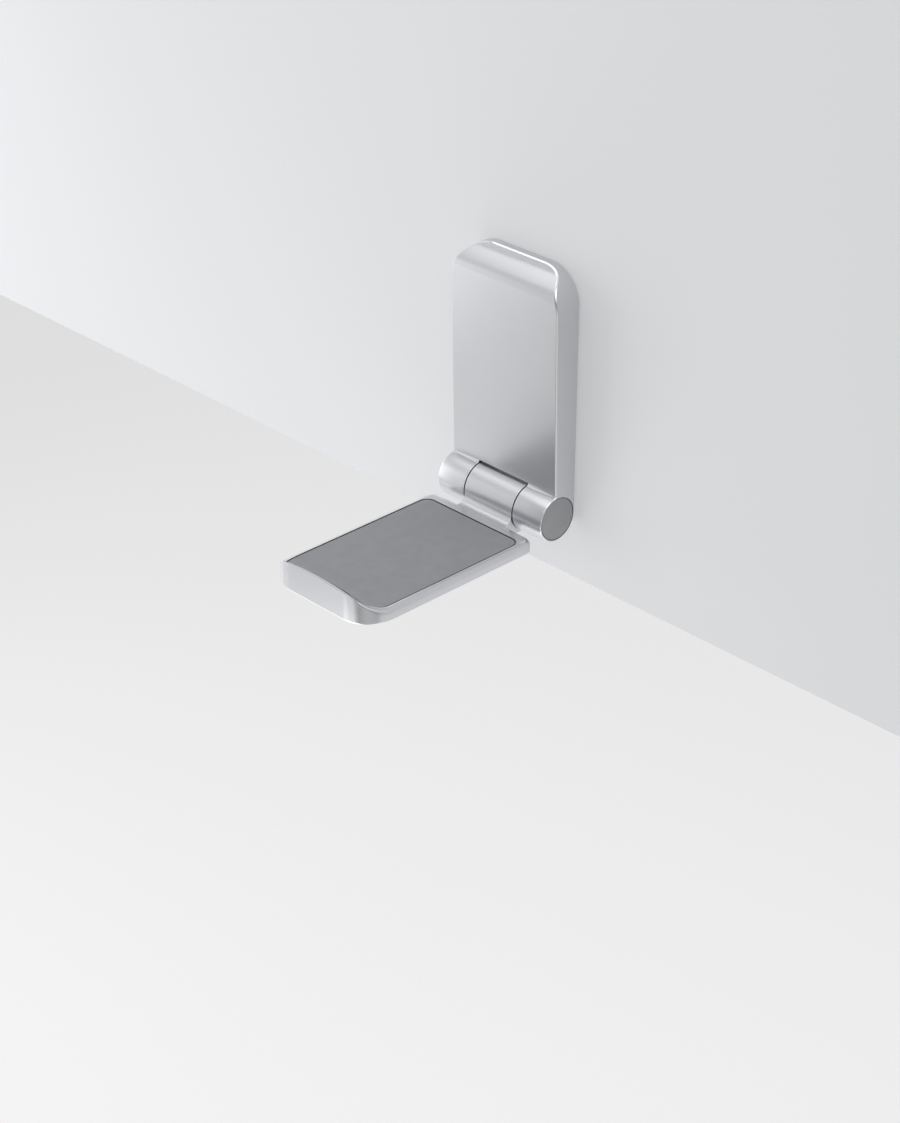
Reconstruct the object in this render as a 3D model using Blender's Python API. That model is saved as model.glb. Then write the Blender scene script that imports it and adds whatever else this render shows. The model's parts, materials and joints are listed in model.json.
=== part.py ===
"""Folding headphone hook for a wall or the side of a desk.

An aluminium wall plate carries two outer hinge knuckles.  The arm's centre knuckle turns between
them on a friction hinge: level in use, or folded up flat against the plate.

Frame: the wall is the plane y = 0, the front faces -Y, +Z is up, and x = 0 is the plane of symmetry.
The origin is the middle of the adhesive pad's back.  Sizes below are in millimetres.
"""
import math

import bmesh
import bpy
from mathutils import Vector

MM = 0.001

# Wall plate
WIDTH = 40.0
PLATE_TOP = 36.5
PLATE_DEPTH_LOW = 8.1
PLATE_DEPTH_HIGH = 9.2
PLATE_BACK = 0.5
PLATE_CORNER = 10.3
EDGE_CHAMFER = 0.5
ROLL_HEIGHT = 7.4
ROLL_ARCS = ((3.965, 47), (21.4, 57), (-4.43, 20))
HALF_WIDTH = WIDTH / 2

# Hinge axis, parallel to X
AXIS_Y = -7.2
AXIS_Z = -35.0
BARREL_RADIUS = 7.0
BARREL_END_RADIUS = 6.75
BARREL_STEP = 0.05
BARREL_FULL_X = 13.0
BARREL_SWELL_X = 17.0
BARREL_SWELL = 0.05
KNUCKLE_HALF = 9.2
KNUCKLE_GAP = 0.4
SLOT_HALF = KNUCKLE_HALF + KNUCKLE_GAP
SLOT_RISE = 7.7
BLEND_RADIUS = 1.0
BLEND_POWER = 1.85
BLEND_SINK = 0.03
BLEND_ROOT = 1.0
BLEND_STATIONS = 8
BLEND_STEPS = 6
BLEND_START_X = SLOT_HALF - 0.2
BLEND_END_X = HALF_WIDTH - 0.3

# Back of the plate: rebate, cross-shaped hollow, cover and adhesive
REBATE_FLOOR = 2.8
REBATE_HALF_WIDTH = 17.5
REBATE_LOW = -23.6
REBATE_HIGH = 33.0
REBATE_CORNER = 7.0
HOLLOW_FLOOR = 6.6
HOLLOW_NARROW = (9.0, -20.4, 24.8)
HOLLOW_WIDE = (14.4, -12.3, 17.3)
HOLLOW_CORNER = 2.5
HOLLOW_STEP = 0.2
HOLLOW_START = 1.0
HOLLOW_WIDE_START = 1.5
COVER_BACK = 1.2
COVER_FRONT = 2.6
TAPE_FRONT = 1.0
TAPE_INSET = 1.2
FIT_GAP = 0.3
SCREW_X = 13.0
SCREW_LOW_Z = -17.0
SCREW_HIGH_Z = 22.0
SCREW_RADIUS = 1.25
SCREW_HEAD_RADIUS = 2.3
SCREW_HEAD_HEIGHT = 1.1
SCREW_LENGTH = 4.6
SCREW_TIP = 0.4
SCREW_SOCKET_RADIUS = 0.85
SCREW_SOCKET_DEPTH = 0.7

# Hinge hardware, by distance from the middle of the hinge
PIN_RADIUS = 2.0
PIN_BORE = 2.3
WASHER_RADIUS = 3.9
WASHER_INNER_X = KNUCKLE_HALF + FIT_GAP
WASHER_OUTER_X = WASHER_INNER_X + 0.8
KNUCKLE_WALL_X = 13.0
COUNTERBORE = 4.6
CAP_SEAT_X = 18.7
CAP_RADIUS = 6.1
CAP_RECESS = 6.35
CAP_BACK_X = 19.0
SPIGOT_X = 18.4
SPIGOT_RADIUS = 4.3
CAP_EDGE = 0.15
HEAD_RADIUS = 3.5
HEAD_THICKNESS = 2.4
PIN_CHAMFER = 0.4
PIN_SOCKET_RADIUS = 1.45
PIN_SOCKET_DEPTH = 1.4
PIN_SHORT = 0.1
BUSHING_RADIUS = 3.1
BUSHING_BORE = 2.1
BUSHING_LENGTH = 7.0
BUSHING_END = KNUCKLE_HALF - 0.2
BUSHING_SEAT = BUSHING_RADIUS + 0.1
SPRING_COUNT = 3
SPRING_RADIUS = 4.2
SPRING_THICKNESS = 0.4
SPRING_CONE = 0.25
SPRING_PITCH = 0.9
NUT_ACROSS_FLATS = 7.0
NUT_X = 16.1
NUT_THICKNESS = 2.0
STOP_ORBIT = 5.4
STOP_RADIUS = 0.6
STOP_HOLE = 0.8
STOP_GROOVE_HALF = 0.85
STOP_DEPTH = 2.8
STOP_LENGTH = 5.4

# Arm, by distance from the hinge axis along the arm and height from the axis
ARM_REACH = 70.8
ARM_START = 8.8
ARM_START_CORNER = 3.0
ARM_TIP_CORNER = 9.5
ARM_UNDERSIDE = -6.7
ARM_SIDE_EDGE = -4.7
ARM_FLOOR = -3.0
ARM_CHAMFER = 0.4
RIM_WIDTH = 1.6
RIM_SHOULDER = 0.6
SHOULDER_SHARE = 0.7
LIP_EDGE = 1.6
LIP_CREST = 1.65
LIP_SWEEP = 9.1
LIP_EDGE_START = 61.4
LIP_CREST_START = 61.7
LIP_ARCH = 1.047
LIP_ARCH_FALL = 0.00118
LIP_ARCH_HALF = 12.0
LIP_COLUMNS = (0.75, 0.5, 0.25, 0.0, -0.25, -0.5, -0.75)
NECK_FILLET = 2.5
NECK_END = 12.0
NECK_STEPS = 6
KNUCKLE_SINK = 0.05
RECESS_START = 12.6
RECESS_CORNER = 3.0
RECESS_DEPTH = 1.6
INLAY_GAP = 0.4
INLAY_ROUND = 0.3
INLAY_BOTTOM = 1.2
FILM_INSET = 1.4
FILM_LOW = 1.5
FILM_HIGH = 1.3

# Steps of the curves, and how far a cutter reaches past the face that it cuts
CORNER_STEPS = 12
GROOVE_STEPS = 14
BARREL_SEGMENTS = 64
SEAT_SEGMENTS = 58
BORE_SEGMENTS = 36
STOP_SEGMENTS = 16
HEX = 6
CUT_PAST = 1.0
SHARP_ANGLE = 28
MERGE_DISTANCE = 1e-7


# ---------------------------------------------------------------- helpers

def clear_scene():
    for item in list(bpy.data.objects):
        bpy.data.objects.remove(item, do_unlink=True)


def make_material(name, colour, metallic, roughness):
    """A plain Principled material, colour as linear RGB."""
    material = bpy.data.materials.new(name)
    material.use_nodes = True
    shader = material.node_tree.nodes["Principled BSDF"]
    shader.inputs["Base Color"].default_value = (*colour, 1.0)
    shader.inputs["Metallic"].default_value = metallic
    shader.inputs["Roughness"].default_value = roughness
    return material


def make_object(name, points, faces, material=None, on_axis=False):
    """Object from points in millimetres; on_axis puts its origin on the hinge axis."""
    mesh = bpy.data.meshes.new(name)
    mesh.from_pydata([Vector(point) * MM for point in points], [], faces)
    work = bmesh.new()
    work.from_mesh(mesh)
    bmesh.ops.remove_doubles(work, verts=work.verts, dist=MERGE_DISTANCE)
    bmesh.ops.recalc_face_normals(work, faces=work.faces)
    work.to_mesh(mesh)
    work.free()
    mesh.shade_smooth()
    mesh.set_sharp_from_angle(angle=math.radians(SHARP_ANGLE))
    item = bpy.data.objects.new(name, mesh)
    if material:
        mesh.materials.append(material)
    if on_axis:
        item.location = Vector((0.0, AXIS_Y, AXIS_Z)) * MM
    bpy.context.scene.collection.objects.link(item)
    return item


def combine(target, tool, operation):
    """Boolean of the target with a helper that stays hidden."""
    tool.hide_render = True
    tool.display_type = "WIRE"
    step = target.modifiers.new(tool.name, "BOOLEAN")
    step.operation = operation
    step.solver = "EXACT"
    step.object = tool


def arc(centre, radius, start, end, steps):
    """Points of an arc, angles in degrees."""
    points = []
    for index in range(steps + 1):
        angle = math.radians(start + (end - start) * index / steps)
        points.append((centre[0] + radius * math.cos(angle), centre[1] + radius * math.sin(angle)))
    return points


def half_outline(half_width, start, end, start_corner, end_corner):
    """Right half of a rounded rectangle as (half width, station), from start to end."""
    points = [(half_width, start)]
    if start_corner > 0:
        points = arc((half_width - start_corner, start + start_corner), start_corner,
                     -90, 0, CORNER_STEPS)
    return points + arc((half_width - end_corner, end - end_corner), end_corner, 0, 90, CORNER_STEPS)


def ladder_solid(name, levels, material=None):
    """Closed solid on the plate, symmetrical in x.

    Each level is a list of (half width, z, height) with equally many rungs.  The levels are
    joined by walls, and the first and last are closed by strips between their left and right points.
    """
    rungs = len(levels[0])
    points = []
    for level in levels:
        points += [plate_point(half, z, height) for half, z, height in level]
        points += [plate_point(-half, z, height) for half, z, height in reversed(level)]
    loop = 2 * rungs
    faces = []
    for index in range(len(levels) - 1):
        low = index * loop
        for step in range(loop):
            after = (step + 1) % loop
            faces.append((low + step, low + after, low + loop + after, low + loop + step))
    for low in (0, (len(levels) - 1) * loop):
        for step in range(rungs - 1):
            mirror = loop - 1 - step
            faces.append((low + step, low + step + 1, low + mirror - 1, low + mirror))
    return make_object(name, points, faces, material)


def grid_cap(points, right, tip, left, height):
    """Faces of a closing surface, as rows of corners across x; its inner corners are added to points.

    right, tip and left are lists of (index, x, station): the level's boundary points.
    """
    rows = []
    for (right_index, half, station), (left_index, _, _) in zip(right[1:-1], left[1:-1]):
        inner = list(range(len(points), len(points) + len(LIP_COLUMNS)))
        points += [(share * half, station, height(share * half, station)) for share in LIP_COLUMNS]
        rows.append([right_index, *inner, left_index])
    rows.append([right[-1][0], *[index for index, _, _ in tip], left[-1][0]])
    faces = [(right[0][0], *rows[0], left[0][0])]
    for row, following in zip(rows, rows[1:]):
        for step in range(len(row) - 1):
            faces.append((row[step], following[step], following[step + 1], row[step + 1]))
    return faces


def arched_solid(name, levels, material=None):
    """Closed solid on the arm whose height also depends on x.

    Each level is (rungs, height): equally many rungs of (half width, station), and height(x, station).
    The first and last levels are closed by grids, so that the lip can be arched across its width.
    """
    points = []
    loops = []
    for rungs, height in levels:
        half, station = rungs[-1]
        tip = [(share * half, station) for share in LIP_COLUMNS]
        outline = rungs + tip + [(-x, z) for x, z in reversed(rungs)]
        first = len(points)
        points += [(x, z, height(x, z)) for x, z in outline]
        loops.append([(first + step, *place) for step, place in enumerate(outline)])
    faces = []
    size = len(loops[0])
    for lower, upper in zip(loops, loops[1:]):
        for step in range(size):
            after = (step + 1) % size
            faces.append((lower[step][0], lower[after][0], upper[after][0], upper[step][0]))
    count = len(levels[0][0])
    for loop, (_, height) in ((loops[0], levels[0]), (loops[-1], levels[-1])):
        faces += grid_cap(points, loop[:count], loop[count:-count], loop[:-count - 1:-1], height)
    return make_object(name, [arm_point(*point) for point in points], faces, material, on_axis=True)


def prism(name, outline, low, high, place, material=None, on_axis=False):
    """Outline of (u, v) points drawn out from low to high; place turns (u, v, w) into a point."""
    count = len(outline)
    points = [place(u, v, low) for u, v in outline] + [place(u, v, high) for u, v in outline]
    faces = [tuple(range(count)), tuple(range(count, 2 * count))]
    for step in range(count):
        after = (step + 1) % count
        faces.append((step, after, count + after, count + step))
    return make_object(name, points, faces, material, on_axis)


def turned(name, profile, place, segments, material=None, on_axis=False):
    """Closed profile of (radius, distance along the axis) turned round the axis."""
    points = []
    rings = []
    for radius, along in profile:
        if radius == 0:
            rings.append([len(points)] * segments)
            points.append(place(0.0, 0.0, along))
            continue
        rings.append(list(range(len(points), len(points) + segments)))
        for step in range(segments):
            angle = 2 * math.pi * step / segments
            points.append(place(radius * math.cos(angle), radius * math.sin(angle), along))
    faces = []
    for index, ring in enumerate(rings):
        following = rings[(index + 1) % len(rings)]
        for step in range(segments):
            after = (step + 1) % segments
            corners = (ring[step], ring[after], following[after], following[step])
            face = tuple(dict.fromkeys(corners))
            if len(face) > 2:
                faces.append(face)
    return make_object(name, points, faces, material, on_axis)


def along_x(u, v, w):
    return (w, u, v)


def along_minus_x(u, v, w):
    return (-w, u, v)


def along_stop_pin(u, v, w):
    return (-w, u, v - STOP_ORBIT)


def around(x, z):
    """Placement for pieces whose axis is parallel to Y at (x, z), w measured out from the wall."""
    def place(u, v, w):
        return (x + u, -w, z + v)
    return place


def plate_point(half, station, height):
    return (half, -height, station)


def arm_point(half, station, height):
    return (half, -station, height)


# ---------------------------------------------------------------- wall plate

def roll_drop(climb):
    """How far the rolled top has gone back at a height above its start.

    ROLL_ARCS are the roll's arcs as (radius, tilt in degrees at the end), negative if concave.
    """
    drop = 0.0
    tilt = 0.0
    for radius, end_tilt in ROLL_ARCS:
        end = math.radians(end_tilt)
        rise = min(radius * (math.sin(end) - math.sin(tilt)), max(climb, 0.0))
        reached = math.asin(math.sin(tilt) + rise / radius)
        drop += radius * (math.cos(tilt) - math.cos(reached))
        climb -= rise
        tilt = end
        if climb <= 0:
            break
    return drop


def plate_front(z):
    """Distance of the front face from the wall: a slight taper, then the top rolls back."""
    roll_start = PLATE_TOP - ROLL_HEIGHT
    blend_end = AXIS_Z + SLOT_RISE
    climb = (min(z, roll_start) - blend_end) / (roll_start - blend_end)
    depth = PLATE_DEPTH_LOW + (PLATE_DEPTH_HIGH - PLATE_DEPTH_LOW) * climb
    return depth - roll_drop(z - roll_start)


def plate_level(inset, height):
    """Rungs of the plate's outline, moved in by inset, at the heights that height(z) gives."""
    outline = half_outline(HALF_WIDTH - inset, AXIS_Z, PLATE_TOP - inset, 0, PLATE_CORNER - inset)
    return [(half, z, height(z)) for half, z in outline]


def blend_radius(x):
    """The blend between front face and barrel fades out towards the barrel's ends."""
    share = (abs(x) - KNUCKLE_HALF) / (HALF_WIDTH - KNUCKLE_HALF)
    return BLEND_RADIUS * (1 - share ** BLEND_POWER)


def blend_section(radius):
    """Section of the blend in (y, z) from the hinge axis, with its ends sunk into plate and barrel."""
    face = -plate_front(AXIS_Z + SLOT_RISE) - AXIS_Y
    centre_y = face - radius
    centre_z = math.sqrt((BARREL_RADIUS + radius) ** 2 - centre_y ** 2)
    down = math.degrees(math.atan2(-centre_z, -centre_y))
    curve = arc((centre_y, centre_z), radius + BLEND_SINK, 0, down, BLEND_STEPS)
    return [(face + BLEND_ROOT, centre_z), *curve, (face + BLEND_ROOT, BARREL_RADIUS / 2)]


def add_blends(plate):
    """Two lofted blends between the front face and the outer knuckles."""
    for side in (1, -1):
        points = []
        for index in range(BLEND_STATIONS + 1):
            x = BLEND_START_X + (BLEND_END_X - BLEND_START_X) * index / BLEND_STATIONS
            points += [(side * x, y, z) for y, z in blend_section(blend_radius(x))]
        count = len(points) // (BLEND_STATIONS + 1)
        last = BLEND_STATIONS * count
        faces = [tuple(range(count)), tuple(range(last, last + count))]
        for index in range(BLEND_STATIONS):
            low = index * count
            for step in range(count):
                after = (step + 1) % count
                faces.append((low + step, low + after, low + count + after, low + count + step))
        combine(plate, make_object(f"blend_{side}", points, faces, on_axis=True), "UNION")


def knuckle_cutter(name, place):
    """Washer recess, pin bore, counterbore and cap recess of one outer knuckle."""
    floor_x = WASHER_OUTER_X + FIT_GAP
    recess = WASHER_RADIUS + FIT_GAP
    inner = SLOT_HALF - CUT_PAST
    outer = HALF_WIDTH + CUT_PAST
    profile = [(0, inner), (recess, inner), (recess, floor_x), (PIN_BORE, floor_x),
               (PIN_BORE, KNUCKLE_WALL_X), (COUNTERBORE, KNUCKLE_WALL_X), (COUNTERBORE, CAP_SEAT_X),
               (CAP_RECESS, CAP_SEAT_X), (CAP_RECESS, outer), (0, outer)]
    return turned(name, profile, place, SEAT_SEGMENTS, on_axis=True)


def stop_groove_cutter():
    """Arc groove for the stop pin, from straight below the axis to straight in front of it."""
    spare = math.degrees((STOP_RADIUS + FIT_GAP) / STOP_ORBIT)
    first = 180 - spare
    last = 270 + spare
    inner = arc((0, 0), STOP_ORBIT - STOP_GROOVE_HALF, first, last, GROOVE_STEPS)
    outer = arc((0, 0), STOP_ORBIT + STOP_GROOVE_HALF, last, first, GROOVE_STEPS)
    return prism("stop_groove", inner + outer, SLOT_HALF - CUT_PAST, SLOT_HALF + STOP_DEPTH,
                 along_minus_x, on_axis=True)


def box_with_round_corners(name, size, low, high, corner):
    """Rounded box cut from the back of the plate; size is (half width, lowest z, highest z)."""
    half_width, bottom, top = size
    outline = half_outline(half_width, bottom, top, corner, corner)
    levels = [[(half, z, height) for half, z in outline] for height in (low, high)]
    return ladder_solid(name, levels)


def screw_places():
    places = []
    for z in (SCREW_LOW_Z, SCREW_HIGH_Z):
        for x in (-SCREW_X, SCREW_X):
            places.append((x, z))
    return places


def build_wall_plate(metal):
    levels = [
        plate_level(0, lambda z: PLATE_BACK),
        plate_level(0, lambda z: plate_front(z) - EDGE_CHAMFER),
        plate_level(EDGE_CHAMFER, plate_front),
    ]
    plate = ladder_solid("wall_plate", levels, metal)

    end = HALF_WIDTH - BARREL_STEP
    swell = (BARREL_RADIUS + BARREL_END_RADIUS) / 2 + BARREL_SWELL
    half_barrel = [(BARREL_RADIUS, BARREL_FULL_X), (swell, BARREL_SWELL_X), (BARREL_END_RADIUS, end),
                   (0, end)]
    barrel = [(radius, -x) for radius, x in reversed(half_barrel)] + half_barrel
    combine(plate, turned("barrel", barrel, along_x, BARREL_SEGMENTS, on_axis=True), "UNION")
    add_blends(plate)

    reach = BARREL_RADIUS + 2 * CUT_PAST
    slot = [(-reach, -reach), (reach, -reach), (reach, SLOT_RISE), (-reach, SLOT_RISE)]
    cutters = [
        prism("slot", slot, -SLOT_HALF, SLOT_HALF, along_x, on_axis=True),
        knuckle_cutter("knuckle_bore_right", along_x),
        knuckle_cutter("knuckle_bore_left", along_minus_x),
        stop_groove_cutter(),
        box_with_round_corners("rebate", (REBATE_HALF_WIDTH, REBATE_LOW, REBATE_HIGH),
                               -CUT_PAST, REBATE_FLOOR, REBATE_CORNER),
        box_with_round_corners("hollow_narrow", HOLLOW_NARROW, HOLLOW_START, HOLLOW_FLOOR,
                               HOLLOW_CORNER),
        box_with_round_corners("hollow_wide", HOLLOW_WIDE, HOLLOW_WIDE_START,
                               HOLLOW_FLOOR - HOLLOW_STEP, HOLLOW_CORNER),
    ]
    thread = SCREW_RADIUS + FIT_GAP
    for number, (x, z) in enumerate(screw_places(), 1):
        profile = [(0, HOLLOW_START), (thread, HOLLOW_START), (thread, HOLLOW_FLOOR),
                   (0, HOLLOW_FLOOR)]
        cutters.append(turned(f"thread_{number}", profile, around(x, z), BORE_SEGMENTS))
    for cutter in cutters:
        combine(plate, cutter, "DIFFERENCE")


def build_back_plate(steel):
    size = (REBATE_HALF_WIDTH - FIT_GAP, REBATE_LOW + FIT_GAP, REBATE_HIGH - FIT_GAP)
    cover = box_with_round_corners("back_plate", size, COVER_BACK, COVER_FRONT,
                                   REBATE_CORNER - FIT_GAP)
    cover.data.materials.append(steel)
    wide = SCREW_HEAD_RADIUS + FIT_GAP
    narrow = SCREW_RADIUS + FIT_GAP
    low = COVER_BACK - CUT_PAST
    head_end = COVER_BACK + SCREW_HEAD_HEIGHT
    high = COVER_FRONT + CUT_PAST
    profile = [(0, low), (wide, low), (wide, COVER_BACK), (narrow, head_end), (narrow, high), (0, high)]
    for number, (x, z) in enumerate(screw_places(), 1):
        cutter = turned(f"countersink_{number}", profile, around(x, z), BORE_SEGMENTS)
        combine(cover, cutter, "DIFFERENCE")


def build_back_plate_screws(steel):
    """Countersunk screws with a hex socket; the thread is a plain cylinder."""
    start = COVER_BACK
    end = start + SCREW_LENGTH
    profile = [(0, start), (SCREW_HEAD_RADIUS, start), (SCREW_RADIUS, start + SCREW_HEAD_HEIGHT),
               (SCREW_RADIUS, end - SCREW_TIP), (SCREW_RADIUS - SCREW_TIP, end), (0, end)]
    low = start - CUT_PAST
    high = start + SCREW_SOCKET_DEPTH
    socket = [(0, low), (SCREW_SOCKET_RADIUS, low), (SCREW_SOCKET_RADIUS, high), (0, high)]
    for number, (x, z) in enumerate(screw_places(), 1):
        screw = turned(f"back_plate_screw_{number}", profile, around(x, z), BORE_SEGMENTS, steel)
        combine(screw, turned(f"screw_socket_{number}", socket, around(x, z), HEX), "DIFFERENCE")


def build_adhesive_pad(foam):
    size = (REBATE_HALF_WIDTH - TAPE_INSET, REBATE_LOW + TAPE_INSET, REBATE_HIGH - TAPE_INSET)
    tape = box_with_round_corners("adhesive_pad", size, 0, TAPE_FRONT, REBATE_CORNER - TAPE_INSET)
    tape.data.materials.append(foam)


# ---------------------------------------------------------------- hinge hardware

def build_hinge_pin(steel):
    """Shoulder pin: socket head in the left counterbore, threaded end in the right one."""
    head = -(KNUCKLE_WALL_X + FIT_GAP)
    far = head - HEAD_THICKNESS
    end = NUT_X + NUT_THICKNESS - PIN_SHORT
    profile = [(0, far), (HEAD_RADIUS - PIN_CHAMFER, far), (HEAD_RADIUS, far + PIN_CHAMFER),
               (HEAD_RADIUS, head), (PIN_RADIUS, head), (PIN_RADIUS, end - PIN_CHAMFER),
               (PIN_RADIUS - PIN_CHAMFER, end), (0, end)]
    pin = turned("hinge_pin", profile, along_x, BORE_SEGMENTS, steel, on_axis=True)
    low = far - CUT_PAST
    high = far + PIN_SOCKET_DEPTH
    socket = [(0, low), (PIN_SOCKET_RADIUS, low), (PIN_SOCKET_RADIUS, high), (0, high)]
    combine(pin, turned("pin_socket", socket, along_x, HEX, on_axis=True), "DIFFERENCE")


def ring_profile(inner, outer, low, high):
    return [(inner, low), (outer, low), (outer, high), (inner, high)]


def build_washers_and_bushings(polymer):
    washer = ring_profile(PIN_BORE, WASHER_RADIUS, WASHER_INNER_X, WASHER_OUTER_X)
    bushing = ring_profile(BUSHING_BORE, BUSHING_RADIUS, BUSHING_END - BUSHING_LENGTH, BUSHING_END)
    for side, place in (("left", along_minus_x), ("right", along_x)):
        turned(f"friction_washer_{side}", washer, place, BORE_SEGMENTS, polymer, on_axis=True)
        turned(f"bushing_{side}", bushing, place, BORE_SEGMENTS, polymer, on_axis=True)


def build_disc_springs(steel):
    """Coned spring washers between the right knuckle's wall and the nut."""
    for index in range(SPRING_COUNT):
        low = KNUCKLE_WALL_X + FIT_GAP + index * SPRING_PITCH
        profile = [(PIN_BORE, low + SPRING_CONE), (SPRING_RADIUS, low),
                   (SPRING_RADIUS, low + SPRING_THICKNESS),
                   (PIN_BORE, low + SPRING_CONE + SPRING_THICKNESS)]
        turned(f"disc_spring_{index + 1}", profile, along_x, BORE_SEGMENTS, steel, on_axis=True)


def build_lock_nut(steel):
    corner = NUT_ACROSS_FLATS / 2 / math.cos(math.pi / HEX)
    end = NUT_X + NUT_THICKNESS
    hexagon = [(0, NUT_X), (corner, NUT_X), (corner, end), (0, end)]
    nut = turned("lock_nut", hexagon, along_x, HEX, steel, on_axis=True)
    low = NUT_X - CUT_PAST
    high = end + CUT_PAST
    bore = [(0, low), (PIN_BORE, low), (PIN_BORE, high), (0, high)]
    combine(nut, turned("nut_bore", bore, along_x, BORE_SEGMENTS, on_axis=True), "DIFFERENCE")


def build_end_caps(cap_metal):
    profile = [(0, SPIGOT_X), (SPIGOT_RADIUS, SPIGOT_X), (SPIGOT_RADIUS, CAP_BACK_X),
               (CAP_RADIUS, CAP_BACK_X), (CAP_RADIUS, HALF_WIDTH - CAP_EDGE),
               (CAP_RADIUS - CAP_EDGE, HALF_WIDTH), (0, HALF_WIDTH)]
    for side, place in (("left", along_minus_x), ("right", along_x)):
        turned(f"end_cap_{side}", profile, place, BARREL_SEGMENTS, cap_metal, on_axis=True)


# ---------------------------------------------------------------- arm

def lip_rise(distance):
    """Height gained on the sweep that climbs to the lip."""
    run = min(max(distance, 0.0), LIP_SWEEP)
    return LIP_SWEEP - math.sqrt(LIP_SWEEP ** 2 - run ** 2)


def arch(x):
    """Share of the lip's rise at x: the lip is highest in its middle."""
    return LIP_ARCH - LIP_ARCH_FALL * min(abs(x), LIP_ARCH_HALF) ** 2


def floor_height(x, station):
    """Height of the arm's upper face and of the inlay."""
    rise = min(lip_rise(station - LIP_CREST_START), LIP_CREST - ARM_FLOOR)
    return ARM_FLOOR + arch(x) * rise


def edge_height(x, station):
    """Height of the arm's outer upper edge."""
    rise = min(lip_rise(station - LIP_EDGE_START), LIP_EDGE - ARM_SIDE_EDGE)
    return ARM_SIDE_EDGE + arch(x) * rise


def shoulder_height(x, station):
    """Point of the rim's rounding between the outer edge and the floor."""
    edge = edge_height(x, station)
    return edge + SHOULDER_SHARE * (floor_height(x, station) - edge)


def level_at(height):
    """Height function of a flat level."""
    return lambda x, station: height


def below_floor(depth):
    """Height function of a level at a depth below the arm's upper face."""
    return lambda x, station: floor_height(x, station) - depth


def arm_level(inset, start, start_corner, height):
    rungs = half_outline(HALF_WIDTH - inset, start, ARM_REACH - inset, start_corner,
                         ARM_TIP_CORNER - inset)
    return rungs, height


def body_level(inset, height):
    return arm_level(inset, ARM_START + inset, ARM_START_CORNER - inset, height)


def recess_level(inset, height):
    """Level of the recess or of what lies in it, moved in from the recess's own outline."""
    return arm_level(RIM_WIDTH + inset, RECESS_START + inset, RECESS_CORNER - inset, height)


def knuckle_section():
    """Centre knuckle and neck in (y, z) from the axis: a circle that runs out into the neck."""
    top = ARM_FLOOR - KNUCKLE_SINK
    bottom = ARM_UNDERSIDE + KNUCKLE_SINK
    fillet_z = top + NECK_FILLET
    fillet_y = -math.sqrt((BARREL_RADIUS + NECK_FILLET) ** 2 - fillet_z ** 2)
    meet = math.degrees(math.atan2(-fillet_z, -fillet_y))
    fillet = arc((fillet_y, fillet_z), NECK_FILLET, -90, meet, NECK_STEPS)
    start = 180 + meet
    end = -180 - math.degrees(math.asin(bottom / BARREL_RADIUS))
    circle = arc((0, 0), BARREL_RADIUS, start, end, BARREL_SEGMENTS)
    return [(-NECK_END, bottom), (-NECK_END, top), *fillet[:-1], *circle]


def build_arm(metal):
    levels = [
        body_level(ARM_CHAMFER, level_at(ARM_UNDERSIDE)),
        body_level(0, level_at(ARM_UNDERSIDE + ARM_CHAMFER)),
        body_level(0, edge_height),
        body_level(RIM_SHOULDER, shoulder_height),
        body_level(RIM_WIDTH, floor_height),
    ]
    arm = arched_solid("arm", levels, metal)
    knuckle = prism("arm_knuckle", knuckle_section(), -KNUCKLE_HALF, KNUCKLE_HALF, along_x,
                    on_axis=True)
    combine(arm, knuckle, "UNION")

    recess = [recess_level(0, below_floor(RECESS_DEPTH)), recess_level(0, below_floor(-CUT_PAST))]
    combine(arm, arched_solid("recess", recess), "DIFFERENCE")

    reach = KNUCKLE_HALF + CUT_PAST
    inner = BUSHING_END - BUSHING_LENGTH - FIT_GAP
    profile = [(0, -reach), (BUSHING_SEAT, -reach), (BUSHING_SEAT, -inner), (PIN_BORE, -inner),
               (PIN_BORE, inner), (BUSHING_SEAT, inner), (BUSHING_SEAT, reach), (0, reach)]
    combine(arm, turned("arm_bore", profile, along_x, BORE_SEGMENTS, on_axis=True), "DIFFERENCE")

    hole_end = SLOT_HALF + STOP_DEPTH - FIT_GAP - STOP_LENGTH - FIT_GAP
    profile = [(0, hole_end), (STOP_HOLE, hole_end), (STOP_HOLE, reach), (0, reach)]
    hole = turned("stop_pin_hole", profile, along_stop_pin, STOP_SEGMENTS, on_axis=True)
    combine(arm, hole, "DIFFERENCE")


def build_stop_pin(steel):
    end = SLOT_HALF + STOP_DEPTH - FIT_GAP
    profile = [(0, end - STOP_LENGTH), (STOP_RADIUS, end - STOP_LENGTH), (STOP_RADIUS, end), (0, end)]
    turned("stop_pin", profile, along_stop_pin, STOP_SEGMENTS, steel, on_axis=True)


def build_arm_pad(silicone):
    levels = [
        recess_level(INLAY_GAP, below_floor(INLAY_BOTTOM)),
        recess_level(INLAY_GAP, below_floor(INLAY_ROUND)),
        recess_level(INLAY_GAP + INLAY_ROUND, floor_height),
    ]
    arched_solid("arm_pad", levels, silicone)


def build_pad_adhesive(film):
    levels = [recess_level(FILM_INSET, below_floor(FILM_LOW)),
              recess_level(FILM_INSET, below_floor(FILM_HIGH))]
    arched_solid("pad_adhesive", levels, film)


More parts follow.
